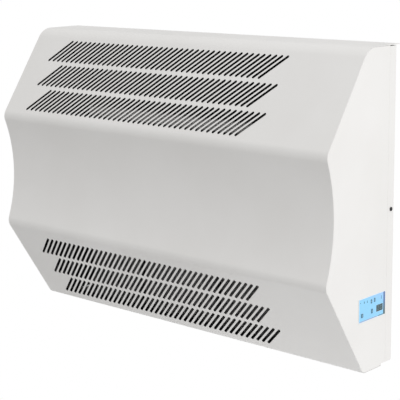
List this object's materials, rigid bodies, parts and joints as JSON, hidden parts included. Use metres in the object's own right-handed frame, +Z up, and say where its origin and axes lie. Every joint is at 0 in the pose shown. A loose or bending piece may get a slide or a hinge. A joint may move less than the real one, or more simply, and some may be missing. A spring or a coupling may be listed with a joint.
{
  "type": "fan convector heater",
  "caption": "Wall-hung fan convector heater with a wave-fronted sheet steel casing, slanted air slots above and below, and a keypad on its right side.",
  "frame": {"origin": "centre of the wall rail's back face, on the wall", "axes": "+Z up, -Y out of the wall into the room, +X to the right as seen from the room"},
  "size_m": [1.1054, 0.2815, 0.7615],
  "materials": {
    "casing_paint": "white satin powder coat",
    "inner_sheet": "galvanised",
    "black_sheet": "matt black stove enamel",
    "bright_steel": "bright zinc plate",
    "copper": "bare copper",
    "brass": "bare brass",
    "fins": "bare",
    "rubber": "black",
    "black_plastic": "black",
    "impeller_plastic": "dark grey",
    "motor_paint": "black stove enamel",
    "filter_mesh": "black open mesh",
    "foam": "black acoustic foam",
    "overlay_blue": "printed light blue film",
    "key_plastic": "dark blue",
    "display_glass": "dark tinted window",
    "circuit_board": "green solder mask",
    "terminal_plastic": "cream",
    "transformer_iron": "varnished laminations",
    "red_plastic": "red",
    "cable_sheath": "black PVC sheath"
  },
  "bodies": {
    "unit": {"front_wrap": "casing_paint", "right_side_panel": "casing_paint", "left_side_panel": "casing_paint", "rear_pan": "casing_paint", "base_plate": "casing_paint", "right_casing_screw": "black_sheet", "left_casing_screw": "black_sheet", "wall_rail": "inner_sheet", "hanger_rail": "inner_sheet", "left_wall_spacer": "rubber", "right_wall_spacer": "rubber", "left_bulkhead": "black_sheet", "right_bulkhead": "black_sheet", "fan_deck": "black_sheet", "coil_baffle": "black_sheet", "upper_lining": "foam", "left_blower_housing": "black_sheet", "right_blower_housing": "black_sheet", "motor_housing": "motor_paint", "left_motor_bearing": "bright_steel", "right_motor_bearing": "bright_steel", "motor_cradle": "inner_sheet", "coil_fin_block": "fins", "coil_left_end_plate": "inner_sheet", "coil_right_end_plate": "inner_sheet", "coil_tube": "copper", "return_riser": "copper", "flow_riser": "copper", "return_union": "brass", "flow_union": "brass", "air_vent_body": "brass", "left_filter_runner": "inner_sheet", "right_filter_runner": "inner_sheet", "control_overlay": "overlay_blue", "display_lens": "display_glass", "display_module": "black_plastic", "control_board": "circuit_board", "control_box": "black_plastic", "terminal_block": "terminal_plastic", "speed_transformer": "transformer_iron", "cable_gland": "black_plastic", "gland_lock_nut": "black_plastic", "thermal_cutout": "black_plastic", "lead_grommet": "rubber", "motor_lead": "cable_sheath", "control_lead": "cable_sheath"},
    "fan_rotor": {"fan_shaft": "bright_steel", "left_impeller": "impeller_plastic", "right_impeller": "impeller_plastic"},
    "intake_filter": {"filter_frame": "black_plastic", "left_filter_pad": "filter_mesh", "middle_filter_pad": "filter_mesh", "right_filter_pad": "filter_mesh"},
    "vent_screw": {"air_vent_screw": "brass"},
    "reset_button": {"cutout_reset_button": "red_plastic"},
    "power_key": {"power_key": "key_plastic"},
    "set_key": {"set_key": "key_plastic"},
    "up_key": {"up_key": "key_plastic"},
    "down_key": {"down_key": "key_plastic"}
  },
  "joints": [
    {"name": "fan_spin", "type": "hinge", "parent": "unit", "child": "fan_rotor", "pos_m": [-0.065, -0.125, -0.325], "axis": [1, 0, 0], "continuous": true},
    {"name": "filter_pull", "type": "slide", "parent": "unit", "child": "intake_filter", "axis": [0, 0, -1], "range_m": [0, 0.195]},
    {"name": "vent_turn", "type": "hinge", "parent": "unit", "child": "vent_screw", "pos_m": [-0.5305, -0.045, -0.1047], "axis": [0, 0, 1], "range_deg": [0, 360]},
    {"name": "reset_press", "type": "slide", "parent": "unit", "child": "reset_button", "axis": [-1, 0, 0], "range_m": [0, 0.002], "stiffness_N_per_m": 1200},
    {"name": "power_key_press", "type": "slide", "parent": "unit", "child": "power_key", "axis": [-1, 0, 0], "range_m": [0, 0.0008], "stiffness_N_per_m": 1500},
    {"name": "set_key_press", "type": "slide", "parent": "unit", "child": "set_key", "axis": [-1, 0, 0], "range_m": [0, 0.0008], "stiffness_N_per_m": 1500},
    {"name": "up_key_press", "type": "slide", "parent": "unit", "child": "up_key", "axis": [-1, 0, 0], "range_m": [0, 0.0008], "stiffness_N_per_m": 1500},
    {"name": "down_key_press", "type": "slide", "parent": "unit", "child": "down_key", "axis": [-1, 0, 0], "range_m": [0, 0.0008], "stiffness_N_per_m": 1500}
  ]
}
